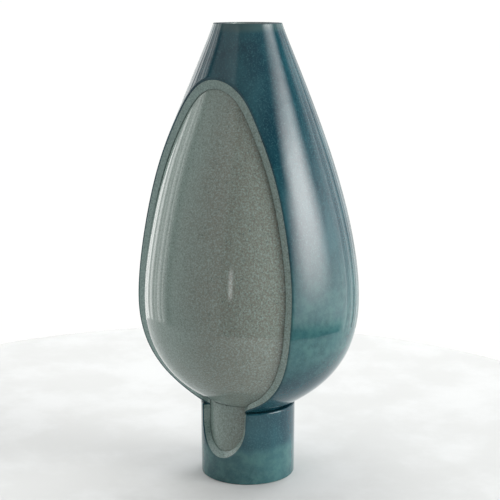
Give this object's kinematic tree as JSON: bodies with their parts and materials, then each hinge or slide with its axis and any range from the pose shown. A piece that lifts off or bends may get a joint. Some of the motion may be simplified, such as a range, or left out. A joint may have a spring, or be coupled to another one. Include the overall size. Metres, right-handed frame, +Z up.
{
  "type": "art glass vase",
  "caption": "Tall egg-shaped glass vase on a short round foot, with a leaf-shaped window cut through its outer layers on one side.",
  "frame": {"origin": "centre of the flat base, on the axis of the vase", "axes": "+Z up along the axis to the mouth, -Y towards the middle of the cut window, +X to the right as seen from the front"},
  "size_m": [0.251, 0.2422, 0.51],
  "materials": {
    "celadon_vessel_glass": "opaque grey-green glass, fine pale speckle, polished",
    "celadon_casing_glass": "opaque grey-green glass, polished cut face",
    "teal_overlay_glass": "opaque mottled teal glass, glossy"
  },
  "bodies": {
    "root": {"inner_vessel": "celadon_vessel_glass", "outer_casing": "celadon_casing_glass", "teal_overlay": "teal_overlay_glass", "foot_core": "celadon_vessel_glass", "foot_casing": "celadon_casing_glass", "foot_overlay": "teal_overlay_glass"}
  },
  "joints": []
}
